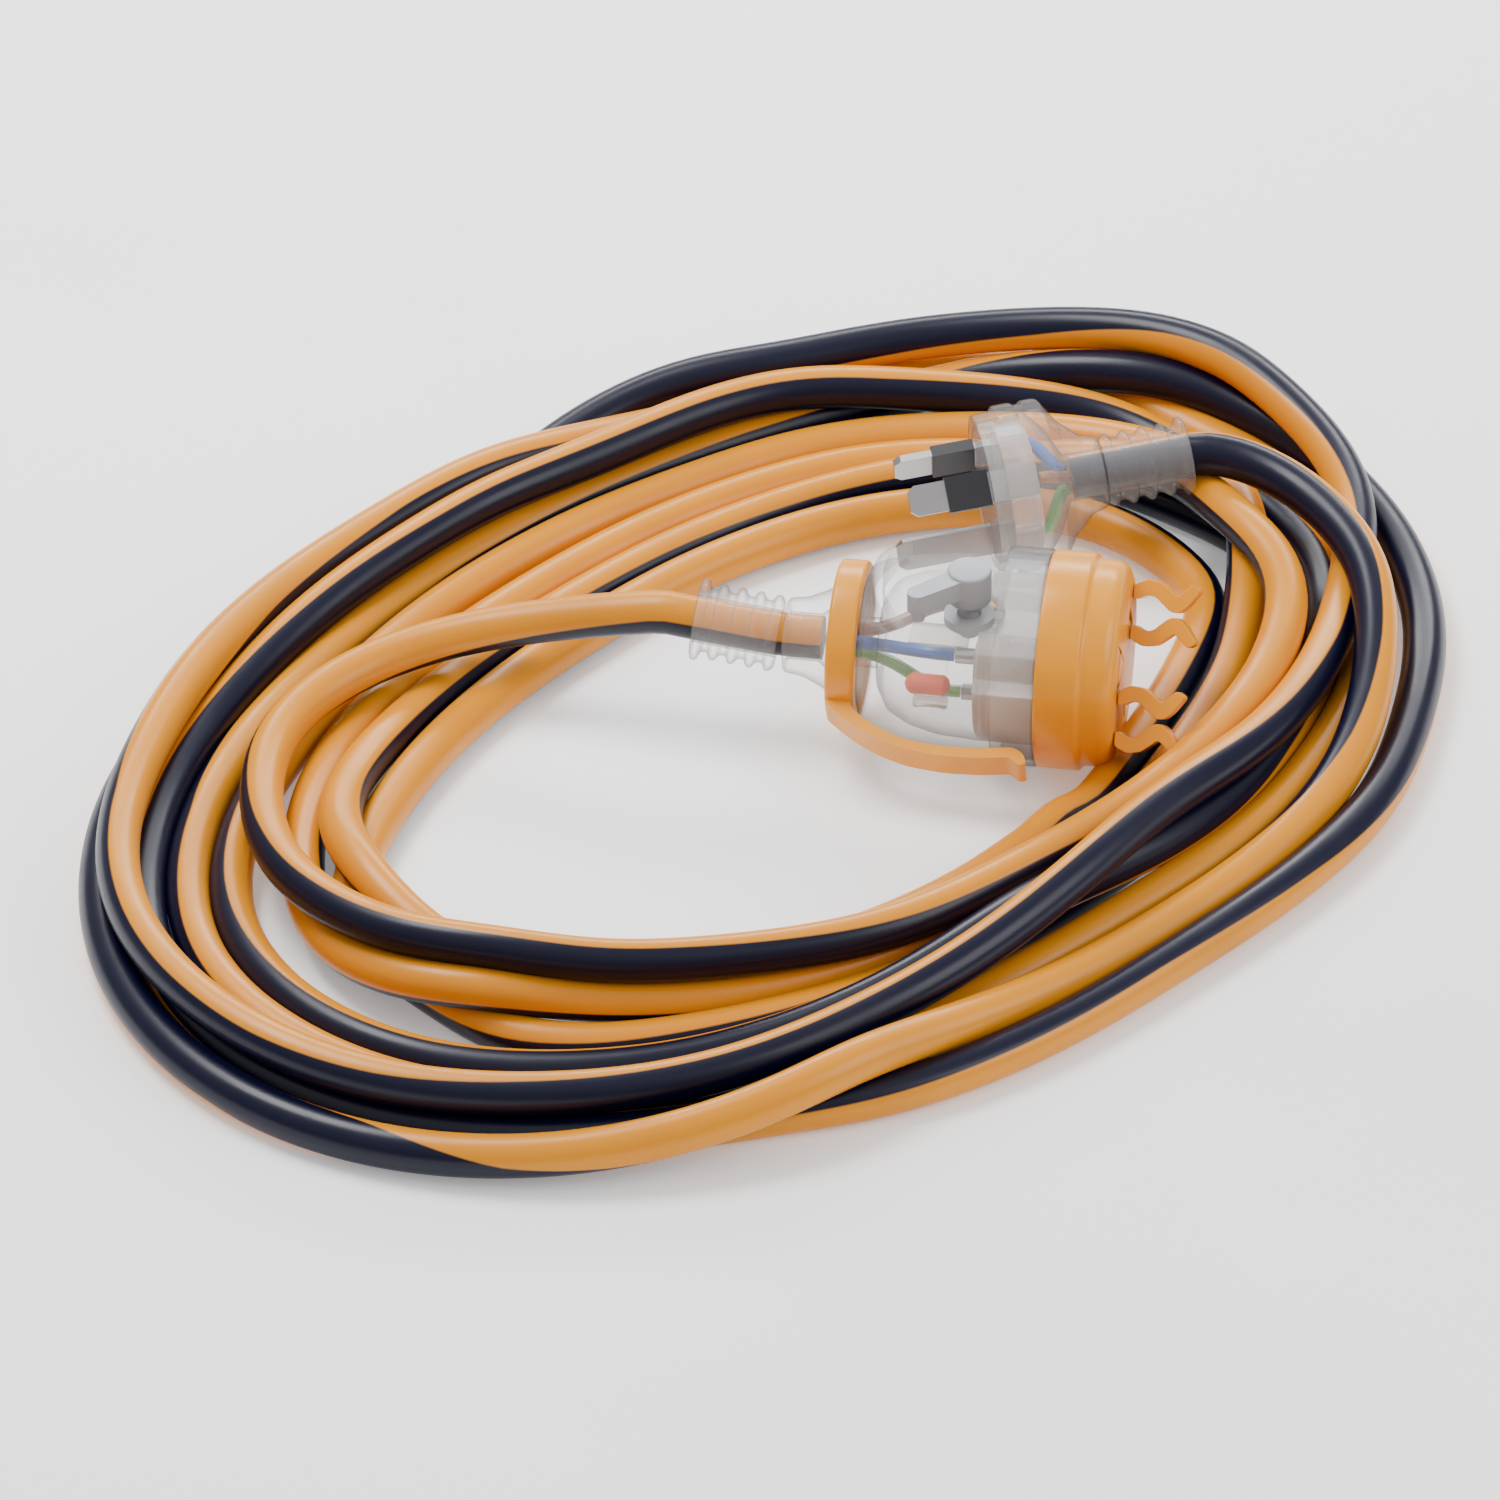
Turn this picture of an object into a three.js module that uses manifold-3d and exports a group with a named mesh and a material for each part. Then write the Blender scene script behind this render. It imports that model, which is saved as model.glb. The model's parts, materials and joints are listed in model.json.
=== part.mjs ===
// Shore power cord: a flat-pin extension lead in a loose oval coil. Millimetres, +Z up, floor at z = 0.
// The row frame's origin is under the middle of the coil and +X runs along the coil's long axis.
import * as THREE from 'three';
import { mergeVertices } from 'three/addons/utils/BufferGeometryUtils.js';
import Module from 'manifold-3d';

const wasm = await Module();
wasm.setup();

// ---- driving dimensions -------------------------------------------------------------------------
const GAP = 0.3;                       // clearance between pieces that touch
const CABLE_R = 4.5;                   // sheath radius
const BORE_R = 4.9;                    // cable bore in necks and boots
const COIL = { outerA: 163.5, outerB: 113.5, innerA: 95.5, innerB: 53.5, innerX: 5, innerY: 3,
  height: 22, bevel: 4, power: 2.15 };
const SOCKET = { x: 41.6, y: -29.8, z: 22.5, yaw: -54.7 };     // on the axis, at the cap's rear edge
const PLUG = { x: 81.7, y: 16.2, z: 22, yaw: 145, pitch: -5.2, roll: 12 };
const BODY_R = 20.8;                   // socket body
const RING_R = 22.3;                   // front ring and cap
const BODY_REAR = -37.2;
const CAP_LENGTH = 16;
const DECK_Z = 12.6;                   // flat the lever turns on, above the axis
const DECK_WALL = 2.5;
const KNOB = { x: -16, r: 4.5, top: 20.6, arm: 15, rest: 43 };
const GUARD = { inner: 17.6, outer: 19.6, near: 49, far: 41, top: 20.4, slope: 12, proud: 2.2 };
const CLAW_ROLL = 24;                  // the jaw pairs and the yoke's arm stand this far from level
const BOOT_PITCH = 7;                  // the socket's boot is set upwards
const BOOT_START = -55;
const BOOT_LENGTH = 17.5;
const NECK_REAR = -53.6;
const PIN_CIRCLE = 10.3;
const PIN_ANGLES = { active: 30, neutral: 150, earth: 270 };
const PIN = { width: 6.35, thick: 1.63, free: 17.1, earthExtra: 2.8, sleeve: 8.9, play: 0.5 };
const FACE_X = 6.8;                    // the plug's front face
const BLADE_SLOT = { width: 7.2, thick: 2.3 };                 // in the orange cap
const CONTACT = { width: 7.6, thick: 3.6, slot: 1.8, play: 0.6 };
const CORE_R = 1.35;
const WINDOW = { side: 9.6, deep: 2, x: -22.7 };               // recess in the body's near side
const DECK_LENGTH = 27.7;
const SPINDLE_BORE = 2.6;
const CAM = { under: 7.7, top: 9.6, r: 5.2, bore: 2.5, lobe: 6.9, lobeUnder: 8.2 };
const JAW = { width: 8, aside: 12.6, roll: -36 };
const YOKE_WIDTH = 7;
const ROOM = 60;                       // side of a cutting block that passes right through
const PLUG_R = 17.5;
const ROUND = 36;                      // facets of the large turned pieces
const rad = THREE.MathUtils.degToRad;

// ---- materials ----------------------------------------------------------------------------------
const paint = (color, roughness, metalness = 0, opacity = 1) => new THREE.MeshStandardMaterial({
  color, roughness, metalness, opacity, transparent: opacity < 1 });
const clearPvc = paint(0xe9e8e6, 0.15, 0, 0.4);
const orangePlastic = paint(0xf39a2b, 0.35);
const greyPlastic = paint(0x8d9198, 0.45);
const sheath = paint(0xe8963a, 0.35);
const brass = paint(0xc9a24c, 0.3, 1);
const pinMetal = paint(0xa9a8ab, 0.3, 1);
const blackPlastic = paint(0x17181c, 0.4);
const whitePlastic = paint(0xe6e3dc, 0.4);
const brownCore = paint(0x6b3a1c, 0.4);
const blueCore = paint(0x2a55a8, 0.4);
const greenCore = paint(0x4d9a3a, 0.4);
const lampRed = paint(0xd8452f, 0.2);

// ---- solids -------------------------------------------------------------------------------------
function bare(geometry) {
  const copy = geometry.index ? geometry.toNonIndexed() : geometry.clone();
  copy.deleteAttribute('normal');
  copy.deleteAttribute('uv');
  return mergeVertices(copy, 1e-4);
}

function solid(geometry) {
  const merged = bare(geometry);
  const vertProperties = new Float32Array(merged.attributes.position.array);
  const triVerts = [];
  const index = merged.index.array;
  for (let i = 0; i < index.length; i += 3) {
    const [a, b, c] = [index[i], index[i + 1], index[i + 2]];
    if (a !== b && b !== c && a !== c) triVerts.push(a, b, c);
  }
  const make = (tris) => new wasm.Manifold(new wasm.Mesh({
    numProp: 3, vertProperties, triVerts: new Uint32Array(tris) }));
  const result = make(triVerts);
  if (result.volume() >= 0) return result;
  const turned = triVerts.slice();
  for (let i = 0; i < turned.length; i += 3) [turned[i], turned[i + 1]] = [turned[i + 1], turned[i]];
  return make(turned);
}

function geometryOf(manifold) {
  const mesh = manifold.getMesh();
  const geometry = new THREE.BufferGeometry();
  const position = new Float32Array(mesh.numVert * 3);
  for (let i = 0; i < mesh.numVert; i += 1) {
    for (let k = 0; k < 3; k += 1) position[3 * i + k] = mesh.vertProperties[mesh.numProp * i + k];
  }
  geometry.setAttribute('position', new THREE.BufferAttribute(position, 3));
  geometry.setIndex(Array.from(mesh.triVerts));
  geometry.computeVertexNormals();
  return geometry;
}

function named(name, shape, material) {
  const manifold = shape.isBufferGeometry ? solid(shape) : shape;
  const mesh = new THREE.Mesh(geometryOf(manifold), material);
  mesh.name = name;
  return mesh;
}

// A profile of [x, radius] points, closed on itself, turned about the local X axis.
function turned(profile, segments = ROUND) {
  const points = profile.map(([x, r]) => new THREE.Vector2(r, x));
  const first = points[0];
  if (first.x > 0) points.push(first.clone());
  return new THREE.LatheGeometry(points, segments).rotateZ(-Math.PI / 2);
}

// A profile of [height, radius] points turned about the lever's upright axis.
function upright(profile, segments = 24) {
  return new THREE.LatheGeometry(profile.map(([z, r]) => new THREE.Vector2(r, z)), segments)
    .rotateX(Math.PI / 2).translate(KNOB.x, 0, 0);
}

function block(size, at) {
  return new THREE.BoxGeometry(...size).translate(...at);
}

function outline(points) {
  return new THREE.Shape(points.map(([x, y]) => new THREE.Vector2(x, y)));
}

// A flat outline of [x, side] points, extruded and centred across, with side turned to +Z.
function flatPiece(points, width) {
  const geometry = new THREE.ExtrudeGeometry(outline(points), { depth: width, bevelEnabled: false });
  return geometry.translate(0, 0, -width / 2).rotateX(Math.PI / 2);
}

function tube(points, radius, sides, steps) {
  const curve = new THREE.CatmullRomCurve3(points.map((p) => new THREE.Vector3(...p)), false, 'centripetal');
  const ring = new THREE.Shape();
  for (let i = 0; i < sides; i += 1) {
    const angle = 2 * Math.PI * i / sides;
    ring[i === 0 ? 'moveTo' : 'lineTo'](radius * Math.cos(angle), radius * Math.sin(angle));
  }
  return new THREE.ExtrudeGeometry(ring, { steps, extrudePath: curve, bevelEnabled: false });
}

// ---- socket: clear mouldings --------------------------------------------------------------------
const BODY_PROFILE = [[BODY_REAR, 0], [BODY_REAR, 15.9], [-34, 17.6], [-28, 19.3], [-20, 20.4],
  [-12, BODY_R], [-GAP, BODY_R], [-GAP, 0]];

function socketBody() {
  const outer = solid(turned(BODY_PROFILE));
  const hollow = solid(turned([[-34, 0], [-34, 9], [-31.5, 13.5], [-27, 16], [-21, 17.5],
    [-13, 18], [1, 18], [1, 0]]));
  const ceiling = DECK_Z - DECK_WALL;
  const cavity = hollow.subtract(solid(block([ROOM, ROOM, 20], [-20, 0, ceiling + 10])));
  const deck = solid(block([DECK_LENGTH, ROOM, 20], [-8.8 - DECK_LENGTH / 2, 0, DECK_Z + 10]));
  const corePath = solid(turned([[-40, 0], [-40, 5.2], [-33, 5.2], [-33, 0]], 20));
  const spindle = solid(new THREE.CylinderGeometry(SPINDLE_BORE, SPINDLE_BORE, 8, 20)
    .rotateX(Math.PI / 2).translate(KNOB.x, 0, DECK_Z));
  const window = solid(block([WINDOW.side, WINDOW.deep, WINDOW.side], [0, -BODY_R + 0.1, 0])
    .rotateX(-rad(CLAW_ROLL)).translate(WINDOW.x, 0, 0));
  return outer.subtract(deck).subtract(cavity).subtract(corePath).subtract(spindle)
    .subtract(window).add(guardWall());
}

// The curved guard behind the lever, tallest at its far end.
function guardWall() {
  const from = Math.PI - rad(GUARD.far);
  const to = Math.PI + rad(GUARD.near);
  const arc = new THREE.Shape();
  arc.absarc(0, 0, GUARD.outer, from, to, false);
  arc.absarc(0, 0, GUARD.inner, to, from, true);
  const height = GUARD.top - DECK_Z + 2;
  const wall = new THREE.ExtrudeGeometry(arc, { depth: height, bevelEnabled: false, curveSegments: 14 })
    .translate(KNOB.x, 0, DECK_Z - 2);
  const slope = block([ROOM, ROOM, 20], [0, 0, 10]).rotateX(rad(GUARD.slope))
    .translate(KNOB.x, 6, GUARD.top - 0.4);
  const shell = solid(turned(BODY_PROFILE.map(([x, r]) => [x, r > 0 ? r + GUARD.proud : 0])));
  return solid(wall).subtract(solid(slope)).intersect(shell);
}

function socketNeck() {
  const rim = BODY_REAR - 0.9;
  return turned([[NECK_REAR, BORE_R], [NECK_REAR, 7.6], [-49.5, 8.2], [-45.5, 10], [-42, 12.3],
    [rim, 13.5], [rim, 11.3], [-43, 8], [-46.5, BORE_R]]);
}

// A ribbed strain relief that runs back from x = 0 for its length.
function ribbedBoot(length, coreR, ribR, ribs) {
  const pitch = length / (ribs - 0.4);
  const profile = [[0, BORE_R], [0, coreR + 0.5]];
  for (let i = 0; i < ribs; i += 1) {
    const start = -i * pitch;
    const r = i === ribs - 1 ? ribR + 0.6 : ribR;
    profile.push([start - 0.5, r - 0.4], [start - 0.9, r], [start - 1.7, r], [start - 2.1, r - 0.5]);
    if (i < ribs - 1) profile.push([start - 2.4, coreR], [start - pitch + 0.1, coreR]);
  }
  profile.push([-length, coreR + 0.6], [-length, BORE_R]);
  return turned(profile, 22);
}

function frontRing() {
  return turned([[-9, BODY_R + GAP], [-9, RING_R - 0.5], [-8.4, RING_R], [-GAP, RING_R],
    [-GAP, BODY_R + GAP]]);
}

// ---- socket: orange mouldings -------------------------------------------------------------------
// Turns a blade and sets it on the pin circle. The earth pin stands upright.
function onPinCircle(blade, angle) {
  return blade.rotateX(angle === PIN_ANGLES.earth ? 0 : rad(angle))
    .translate(0, PIN_CIRCLE * Math.cos(rad(angle)), PIN_CIRCLE * Math.sin(rad(angle)));
}

function bladeAt(angle, width, thick, length, x) {
  return onPinCircle(block([length, thick, width], [x, 0, 0]), angle);
}

function frontCap() {
  let cap = solid(turned([[0, 19.2], [0, RING_R], [8.6, RING_R], [9.4, RING_R - 1.1], [13.6, RING_R - 1.2],
    [15.2, RING_R - 2.2], [CAP_LENGTH, RING_R - 4], [CAP_LENGTH, 0], [13, 0], [13, 19.2]]));
  for (const angle of Object.values(PIN_ANGLES)) {
    cap = cap.subtract(solid(bladeAt(angle, BLADE_SLOT.width, BLADE_SLOT.thick, 8, 14.5)));
  }
  return cap;
}

// One jaw tongue: it bows out from the cap, comes back to its partner and flares at the tip.
function jawTongue(side, upper) {
  const half = [[0, 2.6], [0, 5.6], [2.6, 6.9], [5.4, 6.5], [7.8, 4.6], [8.8, 3.8], [10, 4.6],
    [11.8, 6.6], [13.6, 5.4], [11.4, 2.2], [9.6, 0.5], [7.9, 0.5], [6.2, 1.9], [4.6, 3.4], [2.8, 3.7],
    [1.2, 2.8]];
  const points = half.map(([x, z]) => [x + CAP_LENGTH + GAP, upper ? z : -z]);
  return flatPiece(points, JAW.width).rotateX(rad(JAW.roll)).translate(0,
    side * JAW.aside * Math.cos(rad(CLAW_ROLL)), side * JAW.aside * Math.sin(rad(CLAW_ROLL)));
}

function yoke() {
  const ring = solid(turned([[-43.5, 14], [-43.5, 16], [-42.9, 16.6], [-38.1, 16.6], [BODY_REAR - GAP, 16],
    [BODY_REAR - GAP, 14]]));
  const strip = [[-43.3, 14.6], [-43.3, 16.9], [-38.5, 20.6], [-33, 23.8], [-26, 26.2], [-18, 27.1],
    [-10, 26.8], [-4.2, 25.9], [-2.2, 27.6], [-0.6, 27.2], [-1.2, 25], [-3.6, 23.5], [-10, 24.5],
    [-18, 24.8], [-26, 23.9], [-32, 21.6], [-37.6, 17.9], [-38.6, 14.6]];
  const arm = flatPiece(strip, YOKE_WIDTH).rotateX(Math.PI / 2).rotateX(rad(CLAW_ROLL));
  return ring.add(solid(arm));
}

// ---- socket: inside -----------------------------------------------------------------------------
function contactCarrier() {
  let carrier = solid(turned([[-13, 0], [-13, 17], [-12.4, 17.6], [12.6, 17.6], [12.6, 0]]));
  const ceiling = DECK_Z - DECK_WALL - GAP;
  const camRoom = upright([[5.8, 0], [5.8, CAM.lobe + 0.6], [13.8, CAM.lobe + 0.6], [13.8, 0]]);
  carrier = carrier.subtract(solid(block([30, ROOM, 20], [-15 + GAP / 2, 0, ceiling + 10])));
  carrier = carrier.subtract(solid(camRoom));
  for (const angle of Object.values(PIN_ANGLES)) {
    carrier = carrier.subtract(solid(bladeAt(angle, CONTACT.width + CONTACT.play,
      CONTACT.thick + CONTACT.play, 40, 0)));
  }
  return carrier;
}

function contact(angle) {
  const body = solid(bladeAt(angle, CONTACT.width, CONTACT.thick, 25, -0.3));
  return body.subtract(solid(bladeAt(angle, CONTACT.width + 1.4, CONTACT.slot, 20, 4)));
}

function crimp(angle) {
  const y = PIN_CIRCLE * Math.cos(rad(angle));
  const z = PIN_CIRCLE * Math.sin(rad(angle));
  return turned([[-17.4, 0], [-17.4, 1.7], [-13.2, 1.7], [-13.2, 0]], 14).translate(0, y, z);
}

function socketCore(angle) {
  const y = Math.cos(rad(angle));
  const z = Math.sin(rad(angle));
  const along = [[-45, 2.1], [-41, 2.3], [-36, 2.9], [-31, 5], [-26, 8.2], [-21, PIN_CIRCLE],
    [-17.7, PIN_CIRCLE]];
  return tube(along.map(([x, r]) => [x, r * y, r * z]), CORE_R, 10, 14);
}

function indicatorLamp() {
  return turned([[-27.5, 0], [-27, 1.4], [-26, 2.2], [-19.4, 2.2], [-18.4, 1.4], [-18, 0]], 16)
    .translate(0, -12.2, -0.4);
}

function lampResistor() {
  return turned([[-26, 0], [-26, 1.2], [-25.2, 1.5], [-24.4, 1.2], [-20.6, 1.2], [-19.8, 1.5], [-19, 1.2],
    [-19, 0]], 14).translate(0, -9.8, -6.4);
}

// ---- socket: lock -------------------------------------------------------------------------------
function lockLever() {
  const under = DECK_Z + GAP;
  const knob = solid(upright([[4.4, 0], [4.4, 2.2], [under, 2.2], [under, KNOB.r], [KNOB.top - 0.6, KNOB.r],
    [KNOB.top, KNOB.r - 0.6], [KNOB.top, 0]]));
  const arm = new THREE.Shape();
  arm.moveTo(0, -2.5);
  arm.lineTo(-KNOB.arm + 1.6, -2.1);
  arm.absarc(-KNOB.arm + 2.1, 0, 2.1, -Math.PI / 2, Math.PI / 2, true);
  arm.lineTo(0, 2.5);
  const bar = new THREE.ExtrudeGeometry(arm, { depth: 4.4, bevelEnabled: false, curveSegments: 8 })
    .translate(0, 0, DECK_Z + 3);
  const foot = new THREE.CylinderGeometry(1.5, 1.5, 3.4, 14).rotateX(Math.PI / 2)
    .translate(-KNOB.arm + 2.2, 0, DECK_Z + 2.4);
  const turn = (g) => solid(g.rotateZ(rad(KNOB.rest)).translate(KNOB.x, 0, 0));
  return knob.add(turn(bar)).add(turn(foot));
}

function leverCam() {
  const disc = solid(upright([[CAM.under, CAM.bore], [CAM.under, CAM.r], [CAM.top, CAM.r],
    [CAM.top, CAM.bore], [CAM.under, CAM.bore]]));
  const lobe = block([3.4, 2.6, CAM.top - CAM.lobeUnder],
    [KNOB.x + CAM.lobe - 1.7, 0, (CAM.top + CAM.lobeUnder) / 2]);
  return disc.add(solid(lobe));
}

function leverClip() {
  const ring = solid(upright([[6.5, 2.4], [6.5, 3.9], [7.3, 3.9], [7.3, 2.4], [6.5, 2.4]], 20));
  return ring.subtract(solid(block([3, 2.2, 3], [KNOB.x + 3.4, 0, 6.9])));
}

function lockSlide() {
  const plate = outline([[-28, -3.6], [-17, -3.6], [-16, -2.6], [-16, 2.6], [-17, 3.6], [-28, 3.6]]);
  return new THREE.ExtrudeGeometry(plate, { depth: 1.6, bevelEnabled: false }).translate(0, 0, 2);
}

// ---- plug ---------------------------------------------------------------------------------------
function plugBody() {
  return turned([[7, 16.4], [7, 14.8], [-4, 14.8], [-7.2, 11], [-10.2, BORE_R], [-17.6, BORE_R],
    [-17.6, 7.4], [-14.2, 8.4], [-10, 12.2], [-7.6, 15.9], [-6.8, 17.2], [-6, PLUG_R], [-3.4, PLUG_R],
    [-3, 16.9], [-1.6, 16.9], [-1.2, PLUG_R], [2.6, PLUG_R], [3.2, 16.4]]);
}

const pinHole = (angle) => bladeAt(angle, PIN.width + PIN.play, PIN.thick + PIN.play, 16, 2);

function plugFace() {
  let face = solid(turned([[3.6, 0], [3.6, 14.5], [6.4, 14.5], [FACE_X, 14.1], [FACE_X, 0]]));
  for (const angle of Object.values(PIN_ANGLES)) {
    face = face.subtract(solid(pinHole(angle)));
  }
  return face;
}

function plugInsert() {
  let insert = solid(turned([[-3, 0], [-3, 12.6], [-2, 13.6], [3.3, 13.6], [3.3, 0]], 28));
  for (const angle of Object.values(PIN_ANGLES)) {
    insert = insert.subtract(solid(pinHole(angle)));
  }
  return insert;
}

function plugPin(angle, free) {
  const tip = FACE_X + free;
  const half = PIN.width / 2;
  const blade = flatPiece([[-2.6, -half], [tip - 1.4, -half], [tip, -half + 1.1], [tip, half - 1.1],
    [tip - 1.4, half], [-2.6, half]], PIN.thick);
  return onPinCircle(blade, angle);
}

function pinSleeve(angle) {
  const x = FACE_X + GAP + PIN.sleeve / 2;
  const outer = solid(bladeAt(angle, PIN.width + 1.1, PIN.thick + 1.1, PIN.sleeve, x));
  return outer.subtract(solid(bladeAt(angle, PIN.width + 0.3, PIN.thick + 0.3, PIN.sleeve + 2, x)));
}

function plugCore(angle) {
  const y = Math.cos(rad(angle));
  const z = Math.sin(rad(angle));
  const along = [[-10.4, 2.1], [-8.9, 3], [-7.3, 6], [-6, 8.8], [-4.9, 10.2], [-3.5, PIN_CIRCLE]];
  return tube(along.map(([x, r]) => [x, r * y, r * z]), CORE_R, 10, 8);
}

// ---- cable --------------------------------------------------------------------------------------
function oval(a, b, x, y) {
  const points = [];
  const steps = 72;
  for (let i = 0; i < steps; i += 1) {
    const t = 2 * Math.PI * i / steps;
    const grow = (v) => Math.sign(v) * Math.abs(v) ** (2 / COIL.power);
    points.push(new THREE.Vector2(x + a * grow(Math.cos(t)), y + b * grow(Math.sin(t))));
  }
  return points;
}

function cableCoil() {
  const b = COIL.bevel;
  const shape = new THREE.Shape(oval(COIL.outerA - b, COIL.outerB - b, 0, 0));
  shape.holes.push(new THREE.Path(oval(COIL.innerA + b, COIL.innerB + b, COIL.innerX, COIL.innerY)));
  const ring = new THREE.ExtrudeGeometry(shape, { depth: COIL.height - 2 * b, bevelThickness: b,
    bevelSize: b, bevelSegments: 2 }).translate(0, 0, b);
  const socketSpace = turned([[-50, 0], [-50, RING_R + 1], [CAP_LENGTH + 1, RING_R + 1],
    [CAP_LENGTH + 1, 0]]);
  const jawSpace = block([CAP_LENGTH, 44, 46], [CAP_LENGTH + 8, 0, 9]);
  const plugSpace = turned([[9, 0], [9, PLUG_R + 1.2], [-8, PLUG_R + 1.2], [-18, 11], [-44, 10.5], [-44, 0]]);
  let coil = solid(ring);
  coil = coil.subtract(solid(socketSpace.applyMatrix4(placement(SOCKET))));
  coil = coil.subtract(solid(jawSpace.applyMatrix4(placement(SOCKET))));
  return coil.subtract(solid(plugSpace.applyMatrix4(placement(PLUG))));
}

const TOP = COIL.height + CABLE_R + GAP;   // axis height of cable lying on the coil

function placement({ x, y, z, yaw, pitch = 0, roll = 0 }) {
  return new THREE.Matrix4().makeTranslation(x, y, z)
    .multiply(new THREE.Matrix4().makeRotationZ(rad(yaw)))
    .multiply(new THREE.Matrix4().makeRotationY(-rad(pitch)))
    .multiply(new THREE.Matrix4().makeRotationX(rad(roll)));
}

function placed(place, x, up = 0) {
  const p = new THREE.Vector3(x, 0, up).applyMatrix4(placement(place));
  return [p.x, p.y, p.z];
}

// From inside the socket's neck, out of its boot and over the back of the coil to its left end.
function socketTail() {
  const rise = (x) => (BOOT_START - x) * Math.tan(rad(BOOT_PITCH));
  const boot = (x) => placed(SOCKET, x, Math.max(0, rise(x)));
  return tube([boot(-46), boot(-52), boot(-58), boot(-65), boot(-72.5), [-5.6, 37.5, 25.6],
    [-11.6, 47, TOP], [-18.5, 56.5, TOP], [-27, 65, TOP], [-38, 72, TOP], [-53, 76.3, TOP],
    [-69, 75.2, TOP], [-81, 71.6, TOP]], CABLE_R, 12, 34);
}

// From inside the plug's cone, out of its boot and over the right end of the coil.
function plugTail() {
  return tube([placed(PLUG, -11.2), placed(PLUG, -20), placed(PLUG, -28), placed(PLUG, -36),
    [115.2, -9.6, TOP], [118, -16.5, TOP], [119.2, -26, TOP], [117.5, -37, TOP], [113.5, -48, TOP],
    [107, -58.5, TOP], [98, -68.5, TOP]], CABLE_R, 12, 30);
}

// ---- assembly -----------------------------------------------------------------------------------
const CORE_COLOURS = { active: brownCore, neutral: blueCore, earth: greenCore };

function socketEnd() {
  const group = new THREE.Group();
  group.applyMatrix4(placement(SOCKET));
  const boot = ribbedBoot(BOOT_LENGTH, 6.5, 7.9, 5).rotateY(rad(BOOT_PITCH)).translate(BOOT_START, 0, 0);
  group.add(named('socket_body', socketBody(), clearPvc));
  group.add(named('socket_neck', socketNeck(), clearPvc));
  group.add(named('socket_boot', boot, clearPvc));
  group.add(named('front_ring', frontRing(), clearPvc));
  group.add(named('front_cap', frontCap(), orangePlastic));
  for (const [place, side] of [['far', 1], ['near', -1]]) {
    group.add(named(`jaw_${place}_upper`, jawTongue(side, true), orangePlastic));
    group.add(named(`jaw_${place}_lower`, jawTongue(side, false), orangePlastic));
  }
  group.add(named('yoke', yoke(), orangePlastic));
  group.add(named('contact_carrier', contactCarrier(), whitePlastic));
  for (const [pole, angle] of Object.entries(PIN_ANGLES)) {
    group.add(named(`contact_${pole}`, contact(angle), brass));
    group.add(named(`crimp_${pole}`, crimp(angle), pinMetal));
    group.add(named(`socket_core_${pole}`, socketCore(angle), CORE_COLOURS[pole]));
  }
  group.add(named('indicator_lamp', indicatorLamp(), lampRed));
  group.add(named('lamp_resistor', lampResistor(), whitePlastic));
  group.add(named('lock_lever', lockLever(), greyPlastic));
  group.add(named('lever_cam', leverCam(), greyPlastic));
  group.add(named('lever_clip', leverClip(), pinMetal));
  group.add(named('lock_slide', lockSlide(), whitePlastic));
  return group;
}

function plugEnd() {
  const group = new THREE.Group();
  group.applyMatrix4(placement(PLUG));
  group.add(named('plug_body', plugBody(), clearPvc));
  group.add(named('plug_face', plugFace(), clearPvc));
  group.add(named('plug_insert', plugInsert(), whitePlastic));
  group.add(named('plug_boot', ribbedBoot(18, 6.5, 7.6, 5).translate(-18, 0, 0), clearPvc));
  for (const [pole, angle] of Object.entries(PIN_ANGLES)) {
    const free = pole === 'earth' ? PIN.free + PIN.earthExtra : PIN.free;
    group.add(named(`pin_${pole}`, plugPin(angle, free), pinMetal));
    group.add(named(`plug_core_${pole}`, plugCore(angle), CORE_COLOURS[pole]));
    if (pole !== 'earth') group.add(named(`pin_sleeve_${pole}`, pinSleeve(angle), blackPlastic));
  }
  return group;
}

const cord = new THREE.Group();
cord.add(socketEnd());
cord.add(plugEnd());
cord.add(named('cable_coil', cableCoil(), sheath));
cord.add(named('cable_tail_socket', socketTail(), sheath));
cord.add(named('cable_tail_plug', plugTail(), sheath));

export default cord;
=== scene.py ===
"""Shore power cord: a two-tone cable with its clear socket and plug, and a plain studio."""

import json
from math import cos, pi, radians, sin, tan

import bmesh
import bpy
import numpy as np
from mathutils import Matrix, Vector


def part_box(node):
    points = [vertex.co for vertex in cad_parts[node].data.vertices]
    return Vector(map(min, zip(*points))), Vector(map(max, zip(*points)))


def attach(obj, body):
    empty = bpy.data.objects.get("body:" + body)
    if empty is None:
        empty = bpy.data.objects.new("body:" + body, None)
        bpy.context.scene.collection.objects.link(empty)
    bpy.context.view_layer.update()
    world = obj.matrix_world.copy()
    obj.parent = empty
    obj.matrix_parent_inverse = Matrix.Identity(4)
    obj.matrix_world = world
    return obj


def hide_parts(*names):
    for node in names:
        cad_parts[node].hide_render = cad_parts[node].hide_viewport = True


bl_info = {
    "name": "Shore Power Cord",
    "version": (1, 0, 0),
    "blender": (4, 5, 0),
    "location": "View3D > Sidebar > Cord",
    "description": "Builds a coiled shore power cord with its socket and plug",
    "category": "Add Mesh",
}

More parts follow.
